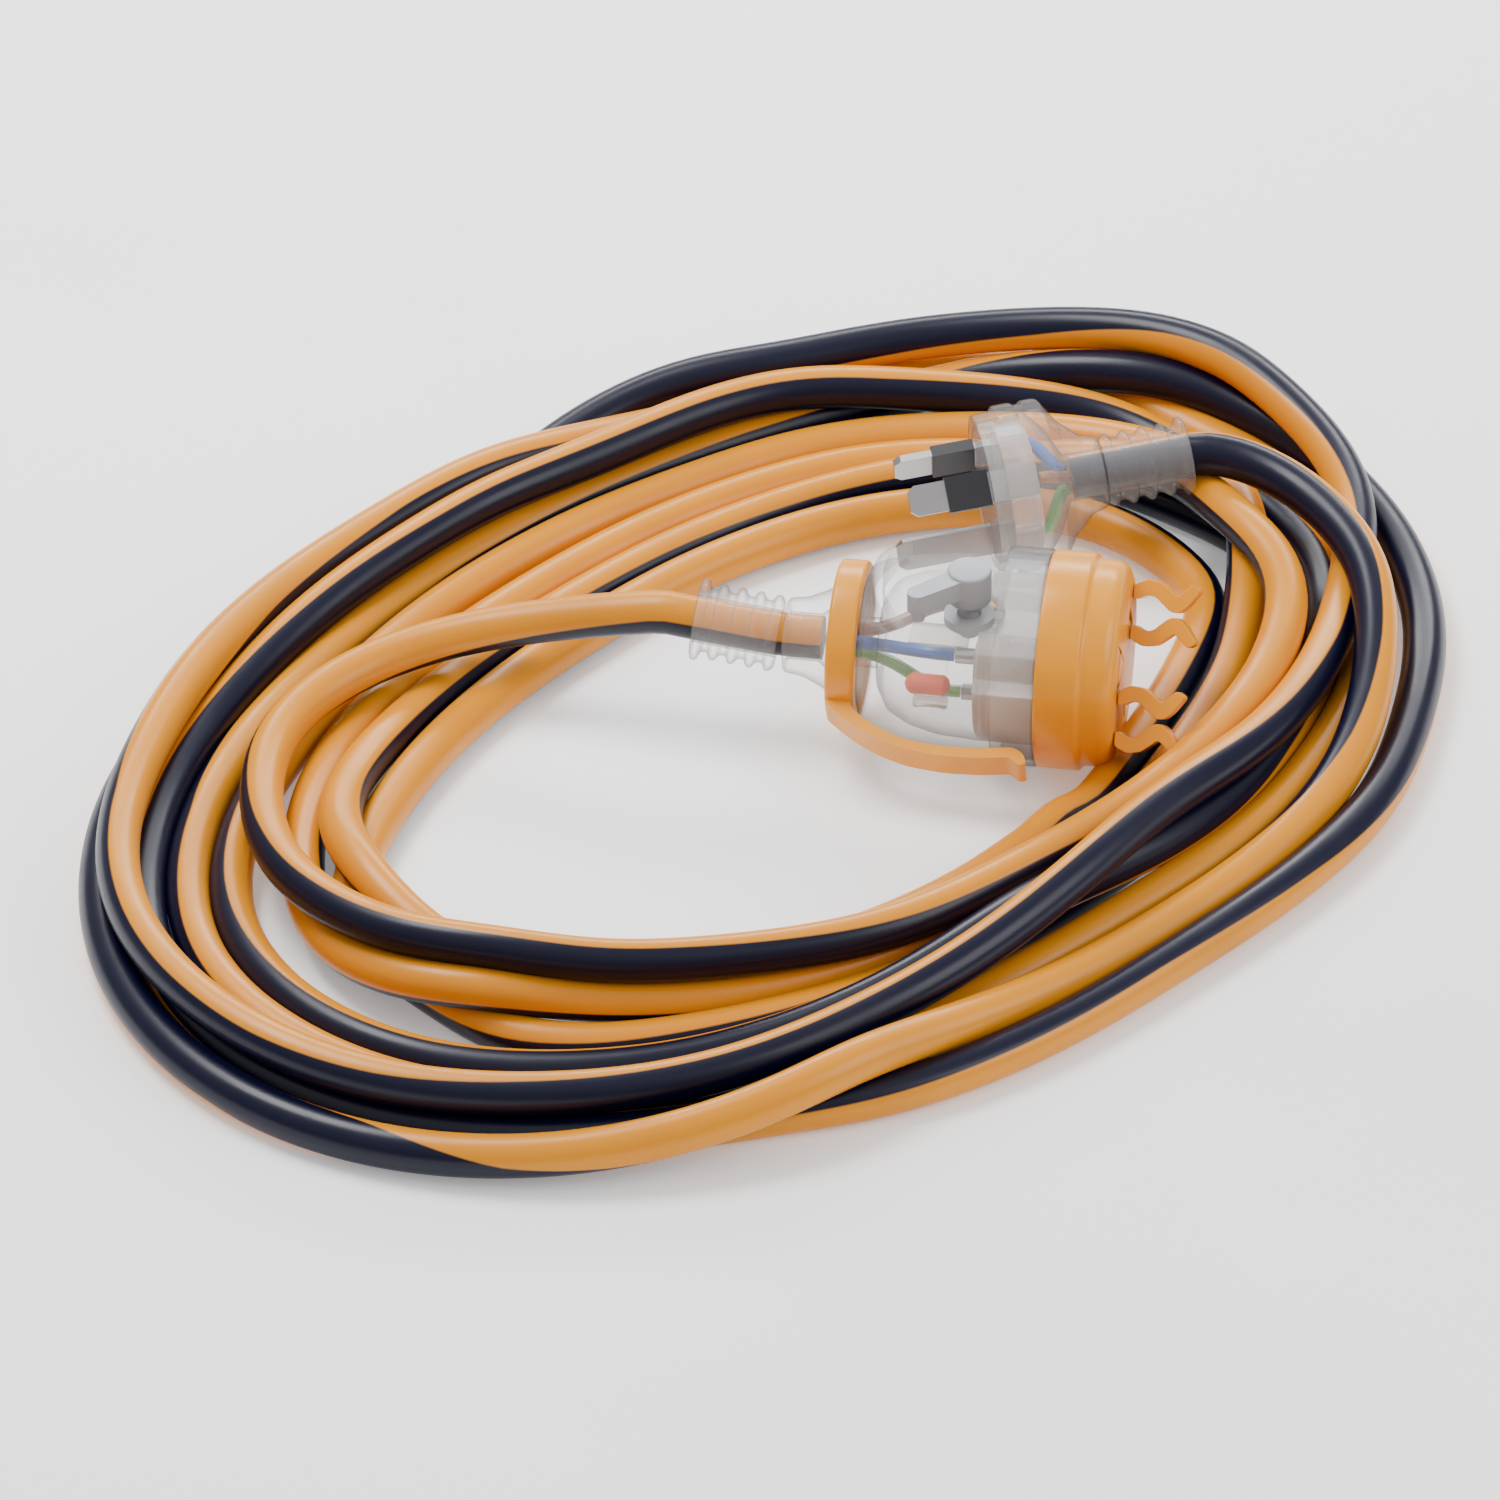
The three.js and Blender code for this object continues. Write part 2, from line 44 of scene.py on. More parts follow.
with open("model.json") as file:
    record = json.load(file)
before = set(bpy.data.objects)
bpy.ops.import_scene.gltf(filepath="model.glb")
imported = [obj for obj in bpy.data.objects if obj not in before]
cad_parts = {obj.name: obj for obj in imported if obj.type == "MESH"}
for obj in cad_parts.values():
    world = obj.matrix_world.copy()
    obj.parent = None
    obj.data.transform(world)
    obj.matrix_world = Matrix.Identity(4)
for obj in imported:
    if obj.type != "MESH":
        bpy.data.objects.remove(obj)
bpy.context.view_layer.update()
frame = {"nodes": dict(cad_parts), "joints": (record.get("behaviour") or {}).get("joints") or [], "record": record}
MM = 0.001
NODES = frame["nodes"]
JOINTS = {j["name"]: j for j in frame["joints"]}

# ---- places, from the frame -------------------------------------------------------------------------
FORWARD = -Vector(JOINTS["yoke_pull"]["axis"])
KNOB_BACK = 16
AXIS_Z = sum(corner[2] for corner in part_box("front_cap")) / 2
KNOB_AT = Vector(JOINTS["lever_turn"]["pos_m"])
SOCKET_AT = Vector((KNOB_AT.x, KNOB_AT.y, AXIS_Z)) + FORWARD * KNOB_BACK * MM
SOCKET = Matrix.Translation(SOCKET_AT) @ Matrix.Rotation(np.arctan2(FORWARD.y, FORWARD.x), 4, "Z")
PLUG_AT = Vector((81.7, 16.2, 22)) * MM
PLUG_YAW = radians(145)
PLUG_PITCH = radians(-5.2)
PLUG_ROLL = radians(12)
PLUG = (Matrix.Translation(PLUG_AT) @ Matrix.Rotation(PLUG_YAW, 4, "Z")
        @ Matrix.Rotation(-PLUG_PITCH, 4, "Y") @ Matrix.Rotation(PLUG_ROLL, 4, "X"))

# ---- sizes in millimetres, in the socket's and the plug's own frames --------------------------------
CABLE_R = 4.5
BORE_R = 4.9
BODY_R = 20.8
RING_R = 22.3
BODY_REAR = -37.2
DECK_Z = 12.6
DECK_WALL = 2.5
KNOB_R = 4.5
KNOB_TOP = 20.6
ARM_LENGTH = 15
ARM_REST = 43
GUARD_OUTER = 19.6
GUARD_INNER = 17.6
GUARD_SWEEP = (139, 229)
GUARD_SLOPE = 12
GUARD_PROUD = 2.2
CLAW_ROLL = 24
JAW_ROLL = -36
JAW_ASIDE = 12.6
BOOT_START = -55
BOOT_LENGTH = 17.5
BOOT_PITCH = 7
NECK_REAR = -53.6
PLUG_R = 17.5
PIN_CIRCLE = 10.3
SLOT_ANGLES = {"active": 30, "neutral": 150, "earth": 270}
TURNED_STEPS = 96


# ---- settings ---------------------------------------------------------------------------------------
class CordSettings(bpy.types.PropertyGroup):
    """Sizes and colours of the cable."""
    diameter: bpy.props.FloatProperty(name="Diameter", description="Sheath diameter", default=0.009,
                                      unit="LENGTH")
    orange: bpy.props.FloatVectorProperty(name="Orange", description="Orange half of the sheath", size=3,
                                          subtype="COLOR", default=(0.66, 0.238, 0.0015))
    navy: bpy.props.FloatVectorProperty(name="Navy", description="Dark half of the sheath", size=3,
                                        subtype="COLOR", default=(0.0012, 0.0015, 0.015))


class SocketSettings(bpy.types.PropertyGroup):
    """Finishes of the socket and the plug."""
    clear: bpy.props.FloatVectorProperty(name="Clear", description="Clear moulding tint", size=3,
                                         subtype="COLOR", default=(0.86, 0.865, 0.87))
    cap: bpy.props.FloatVectorProperty(name="Cap", description="Orange moulding colour", size=3,
                                       subtype="COLOR", default=(0.80, 0.30, 0.001))
    edge: bpy.props.FloatProperty(name="Edge radius", description="Rounding of moulded edges",
                                  default=0.0003, unit="LENGTH")


class StageSettings(bpy.types.PropertyGroup):
    """Camera and light."""
    azimuth: bpy.props.FloatProperty(name="Azimuth", description="Camera azimuth", default=radians(-46),
                                     subtype="ANGLE")
    elevation: bpy.props.FloatProperty(name="Elevation", description="Camera elevation", default=radians(36),
                                       subtype="ANGLE")
    width: bpy.props.FloatProperty(name="Width", description="Width that the camera takes in",
                                   default=0.306, unit="LENGTH")
    lens: bpy.props.FloatProperty(name="Lens", description="Focal length in millimetres", default=500)


# ---- node groups and materials ----------------------------------------------------------------------
def moulded_grain():
    """Fine mould texture: a height for bump and a mask of faint scuffs."""
    name = "moulded_grain"
    if name in bpy.data.node_groups:
        return bpy.data.node_groups[name]
    group = bpy.data.node_groups.new(name, "ShaderNodeTree")
    for socket, default in (("Grain Scale", 900.0), ("Scuff Scale", 60.0)):
        made = group.interface.new_socket(name=socket, in_out="INPUT", socket_type="NodeSocketFloat")
        made.default_value = default
    group.interface.new_socket(name="Height", in_out="OUTPUT", socket_type="NodeSocketFloat")
    group.interface.new_socket(name="Scuffs", in_out="OUTPUT", socket_type="NodeSocketFloat")
    nodes, links = group.nodes, group.links
    entry = nodes.new("NodeGroupInput")
    leave = nodes.new("NodeGroupOutput")
    place = nodes.new("ShaderNodeTexCoord")
    grain = nodes.new("ShaderNodeTexNoise")
    grain.inputs["Detail"].default_value = 3
    scuff = nodes.new("ShaderNodeTexNoise")
    scuff.inputs["Detail"].default_value = 5
    ramp = nodes.new("ShaderNodeValToRGB")
    ramp.color_ramp.elements[0].position = 0.45
    ramp.color_ramp.elements[1].position = 0.72
    for texture, scale in ((grain, "Grain Scale"), (scuff, "Scuff Scale")):
        links.new(place.outputs["Object"], texture.inputs["Vector"])
        links.new(entry.outputs[scale], texture.inputs["Scale"])
    links.new(scuff.outputs["Fac"], ramp.inputs["Fac"])
    links.new(grain.outputs["Fac"], leave.inputs["Height"])
    links.new(ramp.outputs["Color"], leave.inputs["Scuffs"])
    return group


def material(name, color, roughness, metallic=0.0, grain=(900.0, 60.0), bump=0.04, spread=0.06, **sockets):
    """A moulded or metal finish with grain, faint scuffs and a small change of colour."""
    if name in bpy.data.materials:
        return bpy.data.materials[name]
    made = bpy.data.materials.new(name)
    made.use_nodes = True
    nodes, links = made.node_tree.nodes, made.node_tree.links
    shader = nodes["Principled BSDF"]
    shader.inputs["Metallic"].default_value = metallic
    for socket, value in sockets.items():
        shader.inputs[socket.replace("_", " ")].default_value = value
    texture = nodes.new("ShaderNodeGroup")
    texture.node_tree = moulded_grain()
    texture.inputs["Grain Scale"].default_value = grain[0]
    texture.inputs["Scuff Scale"].default_value = grain[1]
    rough = nodes.new("ShaderNodeMapRange")
    rough.inputs["To Min"].default_value = roughness
    rough.inputs["To Max"].default_value = roughness + spread
    links.new(texture.outputs["Scuffs"], rough.inputs["Value"])
    links.new(rough.outputs["Result"], shader.inputs["Roughness"])
    tint = nodes.new("ShaderNodeMix")
    tint.data_type = "RGBA"
    tint.inputs["A"].default_value = (*color, 1)
    tint.inputs["B"].default_value = (*[0.9 * c for c in color], 1)
    links.new(texture.outputs["Scuffs"], tint.inputs["Factor"])
    links.new(tint.outputs["Result"], shader.inputs["Base Color"])
    height = nodes.new("ShaderNodeBump")
    height.inputs["Strength"].default_value = bump
    height.inputs["Distance"].default_value = 0.0002
    links.new(texture.outputs["Height"], height.inputs["Height"])
    links.new(height.outputs["Normal"], shader.inputs["Normal"])
    return made


def clear_pvc():
    """Clear moulding: glass mixed with a straight see-through part, whose tint is darkened towards the outline as
    painted shade in place of the dark edges that refraction would show.
    """
    tint = bpy.context.scene.socket_settings.clear
    made = material("clear_pvc", tuple(tint), 0.0, grain=(700.0, 90.0), bump=0.02, spread=0.03,
                    Transmission_Weight=1.0, IOR=1.42)
    nodes, links = made.node_tree.nodes, made.node_tree.links
    if "straight" in nodes:
        return made
    straight = nodes.new("ShaderNodeBsdfTransparent")
    straight.name = "straight"
    path = nodes.new("ShaderNodeLightPath")
    slant = nodes.new("ShaderNodeLayerWeight")
    slant.inputs["Blend"].default_value = 0.5
    # Painted shade: the see-through tint falls from 0.985 facing the camera to 0.35 at the outline, standing in
    # for refracted shade.
    painted_outline_shade = nodes.new("ShaderNodeMapRange")
    painted_outline_shade.interpolation_type = "SMOOTHSTEP"
    painted_outline_shade.inputs["From Min"].default_value = 0.35
    painted_outline_shade.inputs["To Min"].default_value = 0.985
    painted_outline_shade.inputs["To Max"].default_value = 0.35
    links.new(slant.outputs["Facing"], painted_outline_shade.inputs["Value"])
    links.new(painted_outline_shade.outputs["Result"], straight.inputs["Color"])
    share = nodes.new("ShaderNodeMapRange")
    share.inputs["To Min"].default_value = 0.8
    share.inputs["To Max"].default_value = 0.6
    most = nodes.new("ShaderNodeMath")
    most.operation = "MAXIMUM"
    shadow = nodes.new("ShaderNodeMath")
    shadow.operation = "MULTIPLY"
    shadow.inputs[1].default_value = 0.93
    both = nodes.new("ShaderNodeMixShader")
    links.new(slant.outputs["Facing"], share.inputs["Value"])
    links.new(path.outputs["Is Shadow Ray"], shadow.inputs[0])
    links.new(shadow.outputs["Value"], most.inputs[0])
    links.new(share.outputs["Result"], most.inputs[1])
    links.new(most.outputs["Value"], both.inputs[0])
    links.new(nodes["Principled BSDF"].outputs["BSDF"], both.inputs[1])
    links.new(straight.outputs["BSDF"], both.inputs[2])
    links.new(both.outputs["Shader"], nodes["Material Output"].inputs["Surface"])
    return made


def orange_moulding():
    """Glossy orange of the cap, the jaws and the yoke."""
    return material("orange_moulding", tuple(bpy.context.scene.socket_settings.cap), 0.3,
                    Specular_IOR_Level=0.3, Coat_Weight=0.1, Coat_Roughness=0.12)


def grey_moulding():
    """Satin grey of the lever and its cam."""
    return material("grey_lever", (0.33, 0.345, 0.37), 0.38, bump=0.08)


def sheath():
    """Two-tone cable sheath: orange where the tone attribute is positive, navy elsewhere."""
    settings = bpy.context.scene.cord_settings
    made = material("two_tone_sheath", tuple(settings.orange), 0.3, grain=(1500.0, 35.0), bump=0.06,
                    spread=0.1, Specular_IOR_Level=0.28)
    nodes, links = made.node_tree.nodes, made.node_tree.links
    if "tone" in nodes:
        return made
    shader = nodes["Principled BSDF"]
    tone = nodes.new("ShaderNodeAttribute")
    tone.name = "tone"
    tone.attribute_name = "tone"
    edge = nodes.new("ShaderNodeMapRange")
    edge.inputs["From Min"].default_value = -0.045
    edge.inputs["From Max"].default_value = 0.045
    both = nodes.new("ShaderNodeMix")
    both.data_type = "RGBA"
    both.inputs["A"].default_value = (*settings.navy, 1)
    warm = shader.inputs["Base Color"].links[0].from_socket
    links.new(tone.outputs["Fac"], edge.inputs["Value"])
    links.new(edge.outputs["Result"], both.inputs["Factor"])
    links.new(warm, both.inputs["B"])
    links.new(both.outputs["Result"], shader.inputs["Base Color"])
    return made


# ---- mesh helpers -----------------------------------------------------------------------------------
def finished(bm, name, place, finish, body, replaces=(), edge=True, sharp=35):
    """Puts a bmesh, drawn in millimetres in a local frame, into place as a finished piece."""
    bmesh.ops.remove_doubles(bm, verts=bm.verts, dist=1e-4)
    bmesh.ops.recalc_face_normals(bm, faces=bm.faces)
    bmesh.ops.scale(bm, vec=(MM, MM, MM), verts=bm.verts)
    bmesh.ops.transform(bm, matrix=place, verts=bm.verts)
    mesh = bpy.data.meshes.new(name)
    bm.to_mesh(mesh)
    bm.free()
    mesh.shade_smooth()
    mesh.set_sharp_from_angle(angle=radians(sharp))
    piece = bpy.data.objects.new(name, mesh)
    bpy.context.scene.collection.objects.link(piece)
    mesh.materials.append(finish)
    if edge:
        bevel = piece.modifiers.new("edges", "BEVEL")
        bevel.width = bpy.context.scene.socket_settings.edge
        bevel.segments = 2
        bevel.limit_method = "ANGLE"
        bevel.angle_limit = radians(sharp)
        bevel.harden_normals = False
    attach(piece, body)
    if replaces:
        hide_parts(*replaces)
    return piece


def spun(profile, steps=TURNED_STEPS):
    """Turns a profile of (x, radius) points about the local X axis."""
    bm = bmesh.new()
    verts = [bm.verts.new((x, 0, r)) for x, r in profile]
    edges = [bm.edges.new(pair) for pair in zip(verts, verts[1:])]
    if profile[0][1] > 0:
        edges.append(bm.edges.new((verts[-1], verts[0])))
    bmesh.ops.spin(bm, geom=verts + edges, cent=(0, 0, 0), axis=(1, 0, 0), angle=2 * pi, steps=steps,
                   use_merge=True)
    bmesh.ops.remove_doubles(bm, verts=bm.verts, dist=1e-4)
    bmesh.ops.recalc_face_normals(bm, faces=bm.faces)
    return bm


def rounded(profile, radius, steps=4):
    """Rounds each inner corner of an open profile with a short arc."""
    out = [profile[0]]
    for before, at, after in zip(profile, profile[1:], profile[2:]):
        a, b, c = Vector(before), Vector(at), Vector(after)
        reach = min(radius, 0.45 * (a - b).length, 0.45 * (c - b).length)
        start = b + (a - b).normalized() * reach
        end = b + (c - b).normalized() * reach
        for i in range(steps + 1):
            t = i / steps
            out.append(tuple((1 - t) ** 2 * start + 2 * t * (1 - t) * b + t * t * end))
    return out + [profile[-1]]


def block(size, at):
    """A box of the given size round a point."""
    bm = bmesh.new()
    bmesh.ops.create_cube(bm, size=1)
    bmesh.ops.scale(bm, vec=size, verts=bm.verts)
    bmesh.ops.translate(bm, vec=at, verts=bm.verts)
    return bm


def plate(points, height, at=0.0):
    """Extrudes a flat outline in the XY plane upwards from z = at."""
    bm = bmesh.new()
    face = bm.faces.new([bm.verts.new((x, y, at)) for x, y in points])
    made = bmesh.ops.extrude_face_region(bm, geom=[face])
    verts = [v for v in made["geom"] if isinstance(v, bmesh.types.BMVert)]
    bmesh.ops.translate(bm, vec=(0, 0, height), verts=verts)
    bmesh.ops.recalc_face_normals(bm, faces=bm.faces)
    return bm


def turn(bm, angle, axis):
    """Turns a bmesh about an axis through the origin, in degrees."""
    bmesh.ops.rotate(bm, cent=(0, 0, 0), matrix=Matrix.Rotation(radians(angle), 3, axis), verts=bm.verts)
    return bm


def boolean(base, tools):
    """Cuts or joins bmeshes, each tool given with DIFFERENCE, UNION or INTERSECT."""
    objects = []
    for bm in [base] + [t for t, _ in tools]:
        mesh = bpy.data.meshes.new("shape")
        bmesh.ops.recalc_face_normals(bm, faces=bm.faces)
        bm.to_mesh(mesh)
        bm.free()
        made = bpy.data.objects.new("shape", mesh)
        bpy.context.scene.collection.objects.link(made)
        objects.append(made)
    for tool, (_, operation) in zip(objects[1:], tools):
        cut = objects[0].modifiers.new("cut", "BOOLEAN")
        cut.operation = operation
        cut.solver = "EXACT"
        cut.object = tool
    bpy.context.view_layer.update()
    evaluated = objects[0].evaluated_get(bpy.context.evaluated_depsgraph_get())
    result = bmesh.new()
    result.from_mesh(evaluated.to_mesh())
    evaluated.to_mesh_clear()
    for made in objects:
        mesh = made.data
        bpy.data.objects.remove(made)
        bpy.data.meshes.remove(mesh)
    bmesh.ops.remove_doubles(result, verts=result.verts, dist=1e-4)
    bmesh.ops.dissolve_degenerate(result, edges=result.edges, dist=1e-4)
    return result


# ---- the cable's route ------------------------------------------------------------------------------
INNER_OVAL = (102, 60, 1.5, 6)
OUTER_OVAL = (154, 105.5, -3.5, 3.6)
OVAL_POWER = 2.15
LAYER = 8.6
STATIONS = (135, 180, 225, 270, 315, 360, 405, 450)
# One row for each turn, one column for each station: how far out it lies, how high, and where its
# orange half faces, in degrees from up towards the outside of the coil.
LANES = (
    (0.42, 0.22, 0.12, 0.32, 0.40, 0.28, 0.12, 0.10),
    (0.10, 0.02, 0.02, 0.14, 0.12, 0.00, 0.00, 0.00),
    (0.00, 0.18, 0.30, 0.36, 0.38, 0.34, 0.28, 0.24),
    (0.22, 0.24, 0.20, 0.24, 0.22, 0.36, 0.52, 0.56),
    (0.58, 0.54, 0.46, 0.45, 0.50, 0.60, 0.76, 0.84),
    (0.86, 0.92, 0.90, 1.00, 1.00, 0.90, 0.80, 0.74),
    (0.72, 0.68, 0.64, 0.64, 0.72, 0.84, 0.94, 0.98),
    (0.98, 0.90, 0.79, 0.50, 0.60, 0.93, 1.00, 1.00),
    (1.00, 1.00, 0.97, 0.85, 0.86),
)
LAYERS = (
    (2.0, 1.6, 1.2, 1.0, 1.0, 0.8, 0.0, 0.0),
    (0.8, 1.0, 1.0, 0.6, 0.0, 0.0, 0.0, 0.0),
    (0.0, 0.0, 0.0, 0.0, 0.0, 0.0, 0.6, 1.0),
    (1.0, 0.2, 0.2, 0.2, 0.2, 0.2, 0.2, 0.2),
    (0.0, 0.8, 1.2, 0.8, 0.8, 0.8, 0.8, 1.0),
    (1.0, 0.2, 0.0, 0.0, 0.0, 0.2, 0.2, 0.2),
    (0.0, 0.0, 0.0, 0.0, 0.0, 0.0, 0.0, 0.8),
    (1.0, 1.0, 1.0, 1.4, 1.2, 1.0, 0.8, 0.0),
    (0.0, 0.0, 0.4, 1.2, 1.8),
)
ORANGE_SIDE = (
    (-60, -75, -70, -45, 20, 30, 40, 50),
    (40, -20, -40, -50, -60, -80, -60, -40),
    (-30, 0, -50, -90, 30, 60, 20, 10),
    (50, 20, 0, 40, 60, 20, -30, -60),
    (-70, -90, -110, -150, -230, -270, -300, -290),
    (-250, -190, -200, -230, -180, -200, -300, -330),
    (-430, -400, -390, -310, -330, -350, -340, -300),
    (-430, -405, -440, -450, -420, -480, -540, -560),
    (-540, -520, -310, -320, -250),
)
TOP = 22 + CABLE_R + 0.3
LOOSE_FROM_SOCKET = ((-5.6, 37.5, 25.6), (-11.6, 47, TOP), (-18.5, 56.5, TOP), (-27, 65, TOP),
                     (-38, 72, TOP), (-53, 76.3, TOP), (-69, 75.2, TOP - 0.6), (-81, 71.6, TOP - 1.6))
LOOSE_TO_PLUG = ((98, -68.5, TOP - 0.6), (107, -58.5, TOP), (113.5, -48, TOP), (117.5, -37, TOP),
                 (119.2, -26, TOP), (118, -16.5, TOP), (115.2, -9.6, TOP))
POINT_STEP = 5.5
SOCKET_HELD = 7
PLUG_HELD = 6
TURN_POINTS = 24
STATION_ANGLE = 45.0
END_GAP = 6          # degrees left free at each end of the turns, for the loose stretches
CROSSING = 0.62      # plan distance, in diameters, under which one turn rides over another
NEAR = 1.7           # distance, in diameters, within which two stretches are compared
PAIRS_EVERY = 6      # rounds between two searches for near stretches
LATE = 0.8           # share of the rounds after which only overlaps are pushed apart
MOST_LIFT = 3.0      # the most that a turn on the wrong side of a crossing is pushed in a round
SINK = 0.06          # how far the cable drops in a round
HOME_PULL = 0.01     # how strongly it is drawn back to its own lane
EARLY_PASSES = 7
EARLY_GAIN = 1.6
CLEAR_AFTER = 12     # first point that the socket and the jaws push away
CLEAR_BEFORE = 14    # points at the plug's end that the plug doesn't push away
TONGUES_UP = 5.1
TONGUES_ASIDE = 11.5
TONGUES_R = 12


def socket_local(x, up=0.0, aside=0.0):
    """A point near the socket's axis, in millimetres."""
    return SOCKET @ Vector((x * MM, aside * MM, up * MM)) / MM


def plug_local(x):
    """A point on the plug's axis, in millimetres."""
    return PLUG @ Vector((x * MM, 0, 0)) / MM


def smooth_table(values, at):
    """Reads a table at a fractional column, easing between columns."""
    low = int(np.clip(np.floor(at), 0, len(values) - 2))
    t = min(max(at - low, 0.0), 1.0)
    t = t * t * (3 - 2 * t)
    return values[low] * (1 - t) + values[low + 1] * t


def oval_point(angle, lane):
    """A point in plan on the oval of a lane, from 0 at the inside to 1 at the outside."""
    a, b, x, y = (INNER_OVAL[i] * (1 - lane) + OUTER_OVAL[i] * lane for i in range(4))
    c, s = cos(radians(angle)), sin(radians(angle))
    grow = 2 / OVAL_POWER
    return x + a * np.sign(c) * abs(c) ** grow, y + b * np.sign(s) * abs(s) ** grow


def first_route():
    """The route before it settles: socket, loose stretch, turns, loose stretch, plug."""
    lanes = [v for row in LANES for v in row]
    layers = [v for row in LAYERS for v in row]
    orange = [v for row in ORANGE_SIDE for v in row]
    rise = tan(radians(BOOT_PITCH))
    points, tones = [], []
    for x in (-46, -52, -58, -65, -72.5):
        points.append(tuple(socket_local(x, max(0.0, (BOOT_START - x) * rise))))
        tones.append(15)
    for i, point in enumerate(LOOSE_FROM_SOCKET):
        points.append(point)
        tones.append(10 - 7 * i)
    step = 360 / TURN_POINTS
    whole = (len(lanes) - 1) * STATION_ANGLE
    for i in range(int(whole / step) + 1):
        if i * step < END_GAP or i * step > whole - END_GAP:
            continue
        at = i * step / STATION_ANGLE
        x, y = oval_point(STATIONS[0] + i * step, smooth_table(lanes, at))
        points.append((x, y, CABLE_R + LAYER * smooth_table(layers, at)))
        tones.append(smooth_table(orange, at))
    for point in LOOSE_TO_PLUG:
        points.append(point)
        tones.append(-252)
    for x in (-36, -28, -20, -11.2):
        points.append(tuple(plug_local(x)))
        tones.append(-262)
    return np.array(points, float), np.array(tones, float)


def resampled(points, extra, step):
    """Runs a smooth curve through the points and spaces new ones evenly along it."""
    before = np.vstack([2 * points[0] - points[1], points[:-1]])
    beyond = np.vstack([points[2:], 2 * points[-1] - points[-2], 3 * points[-1] - 2 * points[-2]])
    fine, values = [], []
    for i in range(len(points) - 1):
        p0, p1, p2, p3 = before[i], points[i], points[i + 1], beyond[i]
        for t in np.linspace(0, 1, 12, endpoint=False):
            fine.append(0.5 * (2 * p1 + (p2 - p0) * t + (2 * p0 - 5 * p1 + 4 * p2 - p3) * t * t
                               + (3 * p1 - p0 - 3 * p2 + p3) * t ** 3))
            values.append(extra[i] * (1 - t) + extra[i + 1] * t)
    fine.append(points[-1])
    values.append(extra[-1])
    fine = np.array(fine)
    run = np.r_[0, np.cumsum(np.linalg.norm(np.diff(fine, axis=0), axis=1))]
    count = int(round(run[-1] / step)) + 1
    at = np.linspace(0, run[-1], count)
    out = np.stack([np.interp(at, run, fine[:, k]) for k in range(3)], axis=1)
    return out, np.interp(at, run, np.array(values)), run[-1]


def push_from_rod(points, start, end, radius, free):
    """Moves points out of a round rod between two places."""
    axis = end - start
    length = np.linalg.norm(axis)
    axis = axis / length
    rel = points - start
    along = rel @ axis
    side = rel - along[:, None] * axis
    dist = np.linalg.norm(side, axis=1)
    inside = free & (along > 0) & (along < length) & (dist < radius)
    push = np.zeros_like(points)
    push[inside] = ((radius - dist[inside]) / np.maximum(dist[inside], 1e-3))[:, None] * side[inside]
    return push


def close_pairs(points, reach, apart):
    """Pairs of points nearer than the reach that are not near each other along the cable."""
    square = (points ** 2).sum(1)
    dist2 = square[:, None] + square[None, :] - 2 * points @ points.T
    a, b = np.nonzero(np.triu(dist2 < reach ** 2, apart))
    return a, b


def spread_out(values, passes):
    """Eases each value into its neighbours along the cable."""
    for _ in range(passes):
        values[1:-1] = 0.25 * values[:-2] + 0.5 * values[1:-1] + 0.25 * values[2:]
    return values


